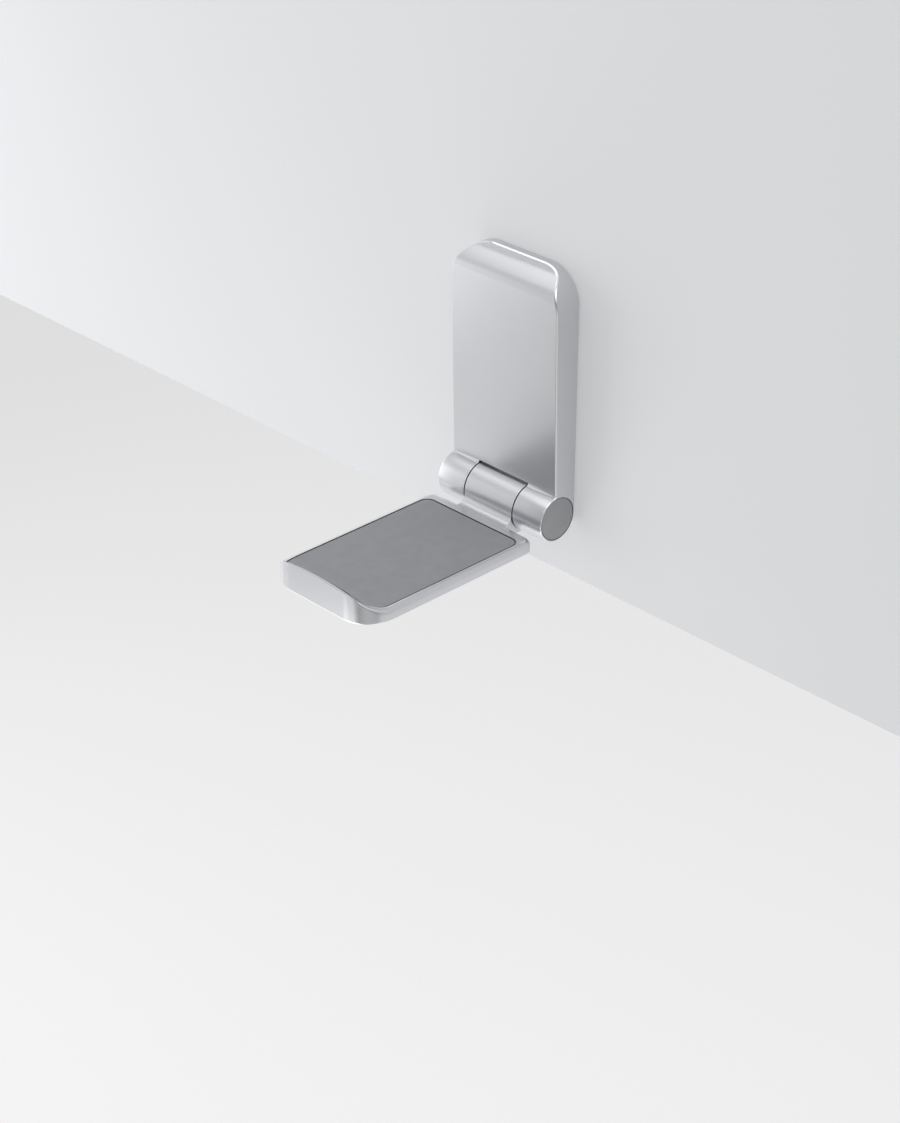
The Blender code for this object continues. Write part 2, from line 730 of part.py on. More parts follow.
def main():
    clear_scene()
    aluminium = make_material("satin_aluminium", (0.62, 0.63, 0.65), 1.0, 0.38)
    cap_metal = make_material("cap_aluminium", (0.30, 0.31, 0.32), 0.6, 0.5)
    steel = make_material("steel", (0.50, 0.50, 0.51), 1.0, 0.3)
    polymer = make_material("acetal", (0.04, 0.04, 0.04), 0.0, 0.5)
    silicone = make_material("grey_silicone", (0.29, 0.30, 0.32), 0.0, 0.75)
    foam = make_material("foam_tape", (0.75, 0.76, 0.77), 0.0, 0.9)
    film = make_material("adhesive_film", (0.80, 0.78, 0.70), 0.0, 0.6)

    build_wall_plate(aluminium)
    build_back_plate(steel)
    build_back_plate_screws(steel)
    build_adhesive_pad(foam)
    build_hinge_pin(steel)
    build_washers_and_bushings(polymer)
    build_disc_springs(steel)
    build_lock_nut(steel)
    build_end_caps(cap_metal)
    build_arm(aluminium)
    build_stop_pin(steel)
    build_arm_pad(silicone)
    build_pad_adhesive(film)


main()
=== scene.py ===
"""Folding headphone hook: fine surfaces, materials, light and camera over the fixed CAD frame.

Sizes are millimetres in the CAD's own frame: the wall is y = 0, the front faces -Y, +Z is up.
"""
import json
import math

import bmesh
import bpy
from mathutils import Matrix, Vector


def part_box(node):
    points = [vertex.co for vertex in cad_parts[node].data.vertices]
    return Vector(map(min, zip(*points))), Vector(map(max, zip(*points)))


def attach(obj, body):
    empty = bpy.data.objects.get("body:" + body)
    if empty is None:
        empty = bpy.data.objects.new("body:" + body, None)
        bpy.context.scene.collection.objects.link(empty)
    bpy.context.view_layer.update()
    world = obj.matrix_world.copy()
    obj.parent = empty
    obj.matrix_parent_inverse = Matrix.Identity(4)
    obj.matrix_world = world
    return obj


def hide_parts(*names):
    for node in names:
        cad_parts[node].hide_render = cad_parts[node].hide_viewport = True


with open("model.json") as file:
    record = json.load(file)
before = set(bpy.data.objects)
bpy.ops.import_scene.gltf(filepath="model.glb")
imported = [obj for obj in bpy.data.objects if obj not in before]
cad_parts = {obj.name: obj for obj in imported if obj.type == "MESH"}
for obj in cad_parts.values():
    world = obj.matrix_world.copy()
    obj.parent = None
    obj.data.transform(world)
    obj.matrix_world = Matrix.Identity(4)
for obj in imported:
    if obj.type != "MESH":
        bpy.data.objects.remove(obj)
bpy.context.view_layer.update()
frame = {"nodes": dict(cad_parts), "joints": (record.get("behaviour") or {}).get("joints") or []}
NODES = frame["nodes"]
JOINT = frame["joints"][0]
MM = 0.001

# Hinge axis and overall sizes, as the CAD has them
AXIS_Y = JOINT["pos_m"][1] / MM
AXIS_Z = JOINT["pos_m"][2] / MM
PLATE_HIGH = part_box("wall_plate")[1]
HALF_WIDTH = PLATE_HIGH.x / MM
PLATE_TOP = PLATE_HIGH.z / MM

# Wall plate; ROLL_ARCS are (radius, tilt in degrees at the end), negative if concave
PLATE_BACK = 0.5
PLATE_BACK_BEVEL = 0.3
PLATE_CORNER = 10.3
PLATE_DEPTH_LOW = 8.1
PLATE_DEPTH_HIGH = 9.2
ROLL_HEIGHT = 7.4
ROLL_ARCS = ((3.965, 47), (21.4, 57), (-4.43, 20))
CHAMFER = 0.35
EDGE_ROUND = 0.1
EDGE_SHORT = 0.3 * EDGE_ROUND
EDGE_LONG = 0.4 * EDGE_ROUND

# Hinge barrel, which tapers to its ends, the slot for the centre knuckle, and the blend above it
BARREL_RADIUS = 7.0
BARREL_END_RADIUS = 6.75
BARREL_TAPER_X = (11.0, 13.5, 16.5)
BARREL_TAPER_START = 0.03
BARREL_SWELL = 0.07
BARREL_EDGE_LENGTH = 0.2
BARREL_EDGE_TOP = 0.02
BARREL_EDGE_DROP = 0.1
BARREL_END_X = HALF_WIDTH - 0.02
KNUCKLE_HALF = 9.2
SLOT_HALF = 9.6
SLOT_RISE = 7.7
BLEND_RADIUS = 1.0
BLEND_POWER = 1.85
BLEND_SINK = 0.02
BLEND_DEPTH = 1.0
BLEND_OVERLAP = 0.2
BLEND_SHORT = 0.1
BLEND_STATIONS = 20
BLEND_STEPS = 14

# Rebate and hollow in the back, as (half width, bottom, top, corner) and distances from the wall
REBATE = (17.5, -23.6, 33.0, 7.0)
REBATE_FLOOR = 2.8
HOLLOW_NARROW = (9.0, -20.4, 24.8, 2.5)
HOLLOW_WIDE = (14.4, -12.3, 17.3, 2.5)
HOLLOW_NARROW_START = 1.0
HOLLOW_WIDE_START = 1.5
HOLLOW_FLOOR = 6.6
HOLLOW_WIDE_FLOOR = HOLLOW_FLOOR - 0.2
TAPE_CORNER = REBATE[3] - 1.2
TAPE_BULGE = ((0.0, 0.12), (0.15, 0.03), (0.5, 0.0), (0.85, 0.03), (1.0, 0.12))

# Bores of the hinge and its end caps: radii, and distances from the middle along x
PIN_BORE = 2.3
WASHER_RECESS = 4.2
WASHER_FLOOR_X = 10.6
KNUCKLE_WALL_X = 13.0
COUNTERBORE = 4.6
CAP_SEAT_X = 18.7
CAP_RECESS = 6.35
CAP_RADIUS = 6.1
CAP_EDGE = 0.12
CAP_BACK_X = 19.0
SPIGOT_X = 18.4
SPIGOT_RADIUS = 4.3
BUSHING_SEAT = 3.2
BUSHING_FLOOR_X = 1.7

# Arm: stations are distances from the hinge axis towards the tip, heights are from the axis
ARM_REACH = 70.8
ARM_START = 8.8
ARM_START_CORNER = 3.0
ARM_TIP_CORNER = 9.5
ARM_UNDERSIDE = -6.7
ARM_SIDE_EDGE = -4.7
ARM_FLOOR = -3.0
ARM_CHAMFER = 0.4
ARM_CHAMFER_INSET = 0.3 * ARM_CHAMFER
ARM_CHAMFER_RISE = 0.25 * ARM_CHAMFER
RIM_WIDTH = 1.6
LIP_EDGE = 1.6
LIP_CREST = 1.65
LIP_SWEEP = 9.1
LIP_BLEND = 0.25
SOFT_REACH = 12
LIP_EDGE_START = 61.4
LIP_CREST_START = 61.7
LIP_ARCH = 1.047
LIP_ARCH_FALL = 0.00118
LIP_ARCH_HALF = 12.0
LIP_COLUMNS = [0.9 - 0.1 * step for step in range(19)]
RIM_STEPS = 7
NECK_FILLET = 2.5
NECK_FILLET_STEPS = 16
NECK_SINK = 0.02
NECK_END = 12.0
RECESS_START = 12.6
RECESS_CORNER = 3.0
RECESS_DEPTH = 1.6
INLAY_GAP = 0.4
INLAY_BOTTOM = 1.2
INLAY_ROUND = 0.15
INLAY_STEPS = 6
INLAY_LEAN = 0.5
INLAY_LEAN_START = 65.5

# Fineness of the round shapes, and how far a cutter runs past what it cuts
CORNER_STEPS = 40
ROUND_SEGMENTS = 160
BORE_SEGMENTS = ROUND_SEGMENTS - 6
SMALL_SEGMENTS = 64
CAP_EDGE_STEPS = 5
CUT_PAST = 1.0
MERGE_DISTANCE = 1e-7
SMOOTH_ANGLE = 30
FLAT_WEIGHT = 100

# Middle range of a noise texture, which the materials spread
NOISE_LOW = 0.3
NOISE_HIGH = 0.7

# Silicone of the inlay, as (dark, light)
SILICONE_TOP = ((0.27, 0.276, 0.29), (0.29, 0.296, 0.31))
# Painted shade: the inlay's side walls get this near-black copy of the silicone, which stands for the
# shadow in the gap round the inlay.
SILICONE_SIDE_PAINTED_SHADE = ((0.05, 0.052, 0.056), (0.07, 0.072, 0.076))


# ---------------------------------------------------------------- mesh helpers

def make_object(name, points, faces, on_axis=False, slots=None):
    """Mesh object from millimetre points; slots gives each face its material slot."""
    shift = Vector((0.0, AXIS_Y, AXIS_Z)) if on_axis else Vector()
    mesh = bpy.data.meshes.new(name)
    mesh.from_pydata([(Vector(point) + shift) * MM for point in points], [], faces)
    if slots:
        mesh.polygons.foreach_set("material_index", slots)
    work = bmesh.new()
    work.from_mesh(mesh)
    bmesh.ops.remove_doubles(work, verts=work.verts, dist=MERGE_DISTANCE)
    bmesh.ops.recalc_face_normals(work, faces=work.faces)
    work.to_mesh(mesh)
    work.free()
    item = bpy.data.objects.new(name, mesh)
    bpy.context.scene.collection.objects.link(item)
    return item


def combine(target, tool, operation):
    """Applies one Boolean to the target and removes the tool."""
    step = target.modifiers.new("combine", "BOOLEAN")
    step.operation = operation
    step.solver = "EXACT"
    step.object = tool
    graph = bpy.context.evaluated_depsgraph_get()
    result = bpy.data.meshes.new_from_object(target.evaluated_get(graph))
    target.modifiers.clear()
    target.data = result
    bpy.data.objects.remove(tool, do_unlink=True)


def smooth(item):
    """Smooth shading that stays crisp at real edges and flat on large faces."""
    item.data.shade_smooth()
    item.data.set_sharp_from_angle(angle=math.radians(SMOOTH_ANGLE))
    weighted = item.modifiers.new("weighted", "WEIGHTED_NORMAL")
    weighted.keep_sharp = True
    weighted.weight = FLAT_WEIGHT


def arc(centre, radius, start, end, steps):
    """Points of an arc, angles in degrees."""
    points = []
    for index in range(steps + 1):
        angle = math.radians(start + (end - start) * index / steps)
        points.append((centre[0] + radius * math.cos(angle), centre[1] + radius * math.sin(angle)))
    return points


def half_outline(half_width, start, end, start_corner, end_corner):
    """Right half of a rounded rectangle as (half width, station), from start to end."""
    points = [(half_width, start)]
    if start_corner > 0:
        points = arc((half_width - start_corner, start + start_corner), start_corner,
                     -90, 0, CORNER_STEPS // 2)
    return points + arc((half_width - end_corner, end - end_corner), end_corner, 0, 90, CORNER_STEPS)


def ladder_solid(name, levels, level_slots=None):
    """Closed solid on the plate, symmetrical in x, from levels of (half width, z, height) rungs."""
    rungs = len(levels[0])
    loop = 2 * rungs
    points = []
    for level in levels:
        points += [plate_point(half, z, height) for half, z, height in level]
        points += [plate_point(-half, z, height) for half, z, height in reversed(level)]
    faces = []
    slots = []
    for index in range(len(levels) - 1):
        low = index * loop
        for step in range(loop):
            after = (step + 1) % loop
            faces.append((low + step, low + after, low + loop + after, low + loop + step))
            slots.append(level_slots[index] if level_slots else 0)
    for low in (0, (len(levels) - 1) * loop):
        for step in range(rungs - 1):
            mirror = loop - 1 - step
            faces.append((low + step, low + step + 1, low + mirror - 1, low + mirror))
            slots.append(0)
    return make_object(name, points, faces, slots=slots)


def grid_cap(points, right, tip, left, height):
    """Faces of a closing surface, as rows of corners across x; its inner corners are added to points.

    right, tip and left are lists of (index, x, station): the level's boundary points.
    """
    rows = []
    for (right_index, half, station), (left_index, _, _) in zip(right[1:-1], left[1:-1]):
        inner = list(range(len(points), len(points) + len(LIP_COLUMNS)))
        points += [(share * half, station, height(share * half, station)) for share in LIP_COLUMNS]
        rows.append([right_index, *inner, left_index])
    rows.append([right[-1][0], *[index for index, _, _ in tip], left[-1][0]])
    faces = [(right[0][0], *rows[0], left[0][0])]
    for row, following in zip(rows, rows[1:]):
        for step in range(len(row) - 1):
            faces.append((row[step], following[step], following[step + 1], row[step + 1]))
    return faces


def arched_solid(name, levels, level_slots=None):
    """Closed solid on the arm whose height also depends on x, so that the lip can be arched.

    Each level is (rungs, height): equally many rungs of (half width, station), and height(x, station).
    """
    points = []
    loops = []
    for rungs, height in levels:
        half, station = rungs[-1]
        tip = [(share * half, station) for share in LIP_COLUMNS]
        outline = rungs + tip + [(-x, z) for x, z in reversed(rungs)]
        first = len(points)
        points += [(x, z, height(x, z)) for x, z in outline]
        loops.append([(first + step, *place) for step, place in enumerate(outline)])
    faces = []
    slots = []
    size = len(loops[0])
    for index, (lower, upper) in enumerate(zip(loops, loops[1:])):
        for step in range(size):
            after = (step + 1) % size
            faces.append((lower[step][0], lower[after][0], upper[after][0], upper[step][0]))
            slots.append(level_slots[index] if level_slots else 0)
    count = len(levels[0][0])
    for loop, (_, height) in ((loops[0], levels[0]), (loops[-1], levels[-1])):
        cap = grid_cap(points, loop[:count], loop[count:-count], loop[:-count - 1:-1], height)
        faces += cap
        slots += [0] * len(cap)
    return make_object(name, [arm_point(*point) for point in points], faces, True, slots)


def prism(name, outline, low, high, place, on_axis=False):
    """Closed outline carried straight from one distance to another."""
    count = len(outline)
    points = [place(u, v, low) for u, v in outline] + [place(u, v, high) for u, v in outline]
    faces = [tuple(range(count)), tuple(range(count, 2 * count))]
    for step in range(count):
        after = (step + 1) % count
        faces.append((step, after, count + after, count + step))
    return make_object(name, points, faces, on_axis)


def turned(name, profile, place, segments, on_axis=False, polished=()):
    """Closed profile of (radius, distance along the axis) turned round the axis.

    polished lists the profile's steps whose surface goes in material slot 1.
    """
    points = []
    rings = []
    for radius, along in profile:
        if radius == 0:
            rings.append([len(points)] * segments)
            points.append(place(0.0, 0.0, along))
            continue
        rings.append(list(range(len(points), len(points) + segments)))
        for step in range(segments):
            angle = 2 * math.pi * step / segments
            points.append(place(radius * math.cos(angle), radius * math.sin(angle), along))
    faces = []
    slots = []
    for index, ring in enumerate(rings):
        following = rings[(index + 1) % len(rings)]
        for step in range(segments):
            after = (step + 1) % segments
            corners = (ring[step], ring[after], following[after], following[step])
            face = tuple(dict.fromkeys(corners))
            if len(face) > 2:
                faces.append(face)
                slots.append(1 if index in polished else 0)
    return make_object(name, points, faces, on_axis, slots)


def along_x(u, v, w):
    """A section point (u, v) at w along the hinge, to the right."""
    return (w, u, v)


def along_minus_x(u, v, w):
    """A section point (u, v) at w along the hinge, to the left."""
    return (-w, u, v)


def plate_point(half, station, height):
    """A point on the plate: station is up, height is away from the wall."""
    return (half, -height, station)


def arm_point(half, station, height):
    """A point on the arm: station is towards the tip, height is up."""
    return (half, -station, height)


# ---------------------------------------------------------------- node materials

class Nodes:
    """A material's node tree with its Principled shader."""

    def __init__(self, name):
        self.material = bpy.data.materials.new(name)
        self.material.use_nodes = True
        self.tree = self.material.node_tree
        self.shader = self.tree.nodes["Principled BSDF"]
        self.coordinates = self.add("ShaderNodeTexCoord").outputs["Object"]

    def add(self, kind, **settings):
        node = self.tree.nodes.new(kind)
        for key, value in settings.items():
            setattr(node, key, value)
        return node

    def link(self, source, target):
        self.tree.links.new(source, target)

    def constants(self, **values):
        for key, value in values.items():
            self.shader.inputs[key.replace("_", " ")].default_value = value

    def noise(self, scale, detail=2.0, stretch=None):
        """Noise at a scale per metre, stretched along the object's axes if asked."""
        node = self.add("ShaderNodeTexNoise")
        node.inputs["Scale"].default_value = scale
        node.inputs["Detail"].default_value = detail
        source = self.coordinates
        if stretch:
            mapping = self.add("ShaderNodeMapping")
            mapping.inputs["Scale"].default_value = stretch
            self.link(source, mapping.inputs["Vector"])
            source = mapping.outputs["Vector"]
        self.link(source, node.inputs["Vector"])
        return node.outputs["Fac"]

    def spread(self, source, low, high):
        """The middle of a noise spread to the range low to high."""
        node = self.add("ShaderNodeMapRange")
        node.inputs["From Min"].default_value = NOISE_LOW
        node.inputs["From Max"].default_value = NOISE_HIGH
        node.inputs["To Min"].default_value = low
        node.inputs["To Max"].default_value = high
        self.link(source, node.inputs["Value"])
        return node.outputs["Result"]

    def colour(self, source, dark, light):
        node = self.add("ShaderNodeValToRGB")
        node.color_ramp.elements[0].position = NOISE_LOW
        node.color_ramp.elements[1].position = NOISE_HIGH
        node.color_ramp.elements[0].color = (*dark, 1.0)
        node.color_ramp.elements[1].color = (*light, 1.0)
        self.link(source, node.inputs["Fac"])
        self.link(node.outputs["Color"], self.shader.inputs["Base Color"])

    def bump(self, source, depth, strength=1.0):
        """Bump of a real depth in metres; calls chain."""
        node = self.add("ShaderNodeBump")
        node.inputs["Strength"].default_value = strength
        node.inputs["Distance"].default_value = depth
        self.link(source, node.inputs["Height"])
        normal = self.shader.inputs["Normal"]
        if normal.is_linked:
            self.link(normal.links[0].from_socket, node.inputs["Normal"])
        self.link(node.outputs["Normal"], normal)


def satin_aluminium():
    """Bead-blasted and clear anodised: fine grain, faint clouding in tone and gloss."""
    nodes = Nodes("satin_aluminium")
    nodes.constants(Metallic=1.0, IOR=1.45)
    nodes.colour(nodes.noise(60, 3), (0.665, 0.675, 0.695), (0.685, 0.695, 0.715))
    nodes.link(nodes.spread(nodes.noise(900, 2), 0.29, 0.33), nodes.shader.inputs["Roughness"])
    nodes.bump(nodes.noise(3000, 2), 0.000002, 0.2)
    return nodes.material


def polished_edge():
    """Diamond-cut chamfer: bright, with faint mottling in tone and gloss and a fine grain."""
    nodes = Nodes("polished_edge")
    nodes.constants(Metallic=1.0, IOR=1.45)
    nodes.colour(nodes.noise(200), (0.90, 0.905, 0.91), (0.94, 0.945, 0.95))
    nodes.link(nodes.spread(nodes.noise(3000), 0.14, 0.22), nodes.shader.inputs["Roughness"])
    nodes.bump(nodes.noise(4000, 1), 0.000001, 0.2)
    return nodes.material


def cap_aluminium():
    """Grey anodised disc with very faint turning rings."""
    nodes = Nodes("cap_aluminium")
    nodes.constants(Metallic=0.55, IOR=1.5)
    nodes.colour(nodes.noise(150, 3), (0.36, 0.364, 0.372), (0.385, 0.39, 0.398))
    nodes.link(nodes.spread(nodes.noise(1500), 0.5, 0.6), nodes.shader.inputs["Roughness"])
    rings = nodes.add("ShaderNodeTexWave", wave_type="RINGS", rings_direction="X")
    rings.inputs["Scale"].default_value = 900
    rings.inputs["Distortion"].default_value = 0.4
    place = nodes.add("ShaderNodeMapping")
    place.inputs["Location"].default_value = (0.0, -AXIS_Y * MM, -AXIS_Z * MM)
    nodes.link(nodes.coordinates, place.inputs["Vector"])
    nodes.link(place.outputs["Vector"], rings.inputs["Vector"])
    nodes.bump(rings.outputs["Fac"], 0.000003, 0.3)
    nodes.bump(nodes.noise(9000, 2), 0.000004, 0.4)
    return nodes.material


def grey_silicone(name, dark, light):
    """Matt moulded silicone with a soft spark-eroded grain and a dusty sheen."""
    nodes = Nodes(name)
    nodes.constants(Metallic=0.0, IOR=1.41, Sheen_Weight=0.15, Sheen_Roughness=0.5)
    nodes.colour(nodes.noise(300, 4), dark, light)
    nodes.link(nodes.spread(nodes.noise(2500), 0.56, 0.68), nodes.shader.inputs["Roughness"])
    nodes.bump(nodes.noise(5000, 3), 0.00001, 0.5)
    return nodes.material


def zinc_steel():
    """Zinc-plated steel, slightly mottled."""
    nodes = Nodes("zinc_steel")
    nodes.constants(Metallic=1.0)
    nodes.colour(nodes.noise(800, 3), (0.50, 0.505, 0.50), (0.62, 0.62, 0.615))
    nodes.link(nodes.spread(nodes.noise(2000), 0.25, 0.4), nodes.shader.inputs["Roughness"])
    nodes.bump(nodes.noise(3000, 2), 0.000005, 0.4)
    return nodes.material


def pressed_steel():
    """Sheet steel with its rolling direction along the plate."""
    nodes = Nodes("pressed_steel")
    nodes.constants(Metallic=1.0)
    lines = nodes.noise(600, 3, stretch=(6.0, 1.0, 0.15))
    nodes.colour(lines, (0.42, 0.425, 0.43), (0.56, 0.56, 0.56))
    nodes.link(nodes.spread(lines, 0.3, 0.45), nodes.shader.inputs["Roughness"])
    nodes.bump(lines, 0.000006, 0.4)
    return nodes.material


def acetal():
    """Black moulded plastic of the bushings and washers."""
    nodes = Nodes("acetal")
    nodes.constants(Metallic=0.0, IOR=1.48)
    nodes.colour(nodes.noise(500), (0.02, 0.02, 0.021), (0.035, 0.035, 0.036))
    nodes.link(nodes.spread(nodes.noise(1500), 0.4, 0.55), nodes.shader.inputs["Roughness"])
    nodes.bump(nodes.noise(4000), 0.000005, 0.3)
    return nodes.material


def foam_tape():
    """Closed-cell foam: pale, with fine round cells."""
    nodes = Nodes("foam_tape")
    nodes.constants(Metallic=0.0, IOR=1.45)
    nodes.colour(nodes.noise(400, 4), (0.70, 0.71, 0.72), (0.80, 0.81, 0.82))
    cells = nodes.add("ShaderNodeTexVoronoi")
    cells.inputs["Scale"].default_value = 3500
    nodes.link(nodes.coordinates, cells.inputs["Vector"])
    nodes.bump(cells.outputs["Distance"], 0.00004, 0.5)
    nodes.link(nodes.spread(nodes.noise(1500), 0.7, 0.9), nodes.shader.inputs["Roughness"])
    return nodes.material


def adhesive_film():
    """Yellowish film under the inlay."""
    nodes = Nodes("adhesive_film")
    nodes.constants(Metallic=0.0, IOR=1.47)
    nodes.colour(nodes.noise(250), (0.66, 0.63, 0.55), (0.74, 0.71, 0.63))
    nodes.link(nodes.spread(nodes.noise(900), 0.3, 0.5), nodes.shader.inputs["Roughness"])
    nodes.bump(nodes.noise(1200), 0.00001, 0.4)
    return nodes.material


def backdrop(name, tone, one_sided=False, glow=0.0):
    """Plain matt backdrop; a one-sided one can't be seen from behind."""
    nodes = Nodes(name)
    nodes.constants(Base_Color=(*tone, 1.0), Roughness=0.9, Specular_IOR_Level=0.1)
    nodes.constants(Emission_Color=(1.0, 1.0, 1.0, 1.0), Emission_Strength=glow)
    if one_sided:
        clear = nodes.add("ShaderNodeBsdfTransparent")
        side = nodes.add("ShaderNodeNewGeometry").outputs["Backfacing"]
        mix = nodes.add("ShaderNodeMixShader")
        nodes.link(side, mix.inputs["Fac"])
        nodes.link(nodes.shader.outputs["BSDF"], mix.inputs[1])
        nodes.link(clear.outputs["BSDF"], mix.inputs[2])
        nodes.link(mix.outputs["Shader"], nodes.tree.nodes["Material Output"].inputs["Surface"])
    return nodes.material


# ---------------------------------------------------------------- wall plate

def roll_drop(climb):
    """How far the rolled top has gone back at a height above its start."""
    drop = 0.0
    tilt = 0.0
    for radius, end_tilt in ROLL_ARCS:
        end = math.radians(end_tilt)
        rise = min(radius * (math.sin(end) - math.sin(tilt)), max(climb, 0.0))
        reached = math.asin(math.sin(tilt) + rise / radius)
        drop += radius * (math.cos(tilt) - math.cos(reached))
        climb -= rise
        tilt = end
        if climb <= 0:
            break
    return drop


def plate_front(z):
    """Distance of the front face from the wall: a slight taper, then the top rolls back."""
    roll_start = PLATE_TOP - ROLL_HEIGHT
    blend_end = AXIS_Z + SLOT_RISE
    climb = (min(z, roll_start) - blend_end) / (roll_start - blend_end)
    depth = PLATE_DEPTH_LOW + (PLATE_DEPTH_HIGH - PLATE_DEPTH_LOW) * climb
    return depth - roll_drop(z - roll_start)


def plate_level(inset, height):
    """Rungs of the plate's outline at an inset, with the height that its z gives."""
    outline = half_outline(HALF_WIDTH - inset, AXIS_Z, PLATE_TOP - inset, 0, PLATE_CORNER - inset)
    return [(half, z, height(z)) for half, z in outline]


def blend_radius(x):
    """The blend between front face and barrel fades out towards the barrel's ends."""
    share = (abs(x) - KNUCKLE_HALF) / (HALF_WIDTH - KNUCKLE_HALF)
    return BLEND_RADIUS * (1 - share ** BLEND_POWER)


def blend_section(radius):
    """Section of a blend in (y, z) from the axis: a concave arc, closed inside the plate."""
    face = -plate_front(AXIS_Z + SLOT_RISE) - AXIS_Y
    centre_y = face - radius
    centre_z = math.sqrt((BARREL_RADIUS + radius) ** 2 - centre_y ** 2)
    down = math.degrees(math.atan2(-centre_z, -centre_y))
    curve = arc((centre_y, centre_z), radius + BLEND_SINK, 0, down, BLEND_STEPS)
    inner = face + BLEND_DEPTH
    return [(inner, centre_z), *curve, (inner, BARREL_RADIUS / 2)]


def add_blends(plate):
    """Adds the concave blends between the front face and the barrel, one on each side of the slot."""
    stations = BLEND_STATIONS
    for side in (1, -1):
        points = []
        for index in range(stations + 1):
            length = HALF_WIDTH - BLEND_SHORT - SLOT_HALF
            x = SLOT_HALF - BLEND_OVERLAP + length * index / stations
            points += [(side * x, y, z) for y, z in blend_section(blend_radius(x))]
        count = len(points) // (stations + 1)
        faces = [tuple(range(count)), tuple(range(stations * count, (stations + 1) * count))]
        for index in range(stations):
            low = index * count
            for step in range(count):
                after = (step + 1) % count
                faces.append((low + step, low + after, low + count + after, low + count + step))
        combine(plate, make_object("blend", points, faces, on_axis=True), "UNION")


def rounded_box(name, size, low, high):
    """Rounded cutter, of size (half width, bottom, top, corner), between two distances from the wall."""
    half_width, bottom, top, corner = size
    outline = half_outline(half_width, bottom, top, corner, corner)
    levels = [[(half, z, height) for half, z in outline] for height in (low, high)]
    return ladder_solid(name, levels)


def add_barrel(plate):
    """Joins the barrel to the plate, with polished edges round its ends."""
    first, second, third = BARREL_TAPER_X
    middle = (BARREL_RADIUS + BARREL_END_RADIUS) / 2
    half_barrel = [
        (BARREL_RADIUS, first),
        (BARREL_RADIUS - BARREL_TAPER_START, second),
        (middle + BARREL_SWELL, third),
        (BARREL_END_RADIUS + BARREL_EDGE_TOP, BARREL_END_X - BARREL_EDGE_LENGTH),
        (BARREL_END_RADIUS - BARREL_EDGE_DROP, BARREL_END_X),
        (0, BARREL_END_X),
    ]
    barrel = [(radius, -x) for radius, x in reversed(half_barrel)] + half_barrel
    last = len(barrel) - 1
    bright_ends = (0, 1, last - 2, last - 1)
    combine(plate, turned("barrel", barrel, along_x, ROUND_SEGMENTS, True, bright_ends), "UNION")


def cut_hinge_side(plate):
    """Cuts the slot for the centre knuckle, and the bores of both outer knuckles."""
    reach = BARREL_RADIUS + 2 * CUT_PAST
    slot = [(-reach, -reach), (reach, -reach), (reach, SLOT_RISE), (-reach, SLOT_RISE)]
    combine(plate, prism("slot", slot, -SLOT_HALF, SLOT_HALF, along_x, on_axis=True), "DIFFERENCE")
    inner = SLOT_HALF - CUT_PAST
    outer = HALF_WIDTH + CUT_PAST
    bore = [(0, inner), (WASHER_RECESS, inner), (WASHER_RECESS, WASHER_FLOOR_X),
            (PIN_BORE, WASHER_FLOOR_X), (PIN_BORE, KNUCKLE_WALL_X), (COUNTERBORE, KNUCKLE_WALL_X),
            (COUNTERBORE, CAP_SEAT_X), (CAP_RECESS, CAP_SEAT_X), (CAP_RECESS, outer), (0, outer)]
    for place in (along_x, along_minus_x):
        cutter = turned("bore", bore, place, BORE_SEGMENTS, on_axis=True)
        combine(plate, cutter, "DIFFERENCE")


def build_plate(metal, polished):
    """The shell: satin faces, a polished chamfer round the front, knuckles and the hollow back."""
    soft = EDGE_ROUND
    levels = [
        plate_level(PLATE_BACK_BEVEL, lambda z: PLATE_BACK),
        plate_level(soft, lambda z: PLATE_BACK + soft),
        plate_level(0, lambda z: PLATE_BACK + PLATE_BACK_BEVEL),
        plate_level(0, lambda z: plate_front(z) - CHAMFER - soft),
        plate_level(EDGE_LONG, lambda z: plate_front(z) - CHAMFER + EDGE_SHORT),
        plate_level(CHAMFER - EDGE_SHORT, lambda z: plate_front(z) - EDGE_LONG),
        plate_level(CHAMFER + soft, plate_front),
    ]
    plate = ladder_solid("plate_shell", levels, level_slots=[0, 0, 0, 0, 1, 0])
    plate.data.materials.append(metal)
    plate.data.materials.append(polished)

    add_barrel(plate)
    add_blends(plate)
    cut_hinge_side(plate)
    cutters = [
        ("rebate", REBATE, -CUT_PAST, REBATE_FLOOR),
        ("hollow", HOLLOW_NARROW, HOLLOW_NARROW_START, HOLLOW_FLOOR),
        ("hollow", HOLLOW_WIDE, HOLLOW_WIDE_START, HOLLOW_WIDE_FLOOR),
    ]
    for name, size, low, high in cutters:
        combine(plate, rounded_box(name, size, low, high), "DIFFERENCE")
    smooth(plate)
    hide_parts("wall_plate")
    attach(plate, "plate")


def build_caps(cap_metal):
    """Discs that close the barrel, with a soft turned edge."""
    edge = CAP_EDGE
    rim = arc((CAP_RADIUS - edge, HALF_WIDTH - edge), edge, 0, 90, CAP_EDGE_STEPS)
    profile = [(0, SPIGOT_X), (SPIGOT_RADIUS, SPIGOT_X), (SPIGOT_RADIUS, CAP_BACK_X),
               (CAP_RADIUS, CAP_BACK_X), *rim, (0, HALF_WIDTH)]
    for side, place in (("left", along_minus_x), ("right", along_x)):
        cap = turned(f"cap_disc_{side}", profile, place, ROUND_SEGMENTS, on_axis=True)
        cap.data.materials.append(cap_metal)
        smooth(cap)
        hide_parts(f"end_cap_{side}")
        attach(cap, "plate")


# ---------------------------------------------------------------- arm

def lip_rise(distance):
    """Rise of the circular sweep up to the lip, at a distance past its start."""
    run = min(max(distance, 0.0), LIP_SWEEP)
    return LIP_SWEEP - math.sqrt(LIP_SWEEP ** 2 - run ** 2)


def soft_min(value, limit):
    """Minimum of value and limit with a transition rounded over LIP_BLEND."""
    gap = (limit - value) / LIP_BLEND
    if gap > SOFT_REACH:
        return value
    return value - LIP_BLEND * math.log1p(math.exp(-gap)) if gap > -SOFT_REACH else limit


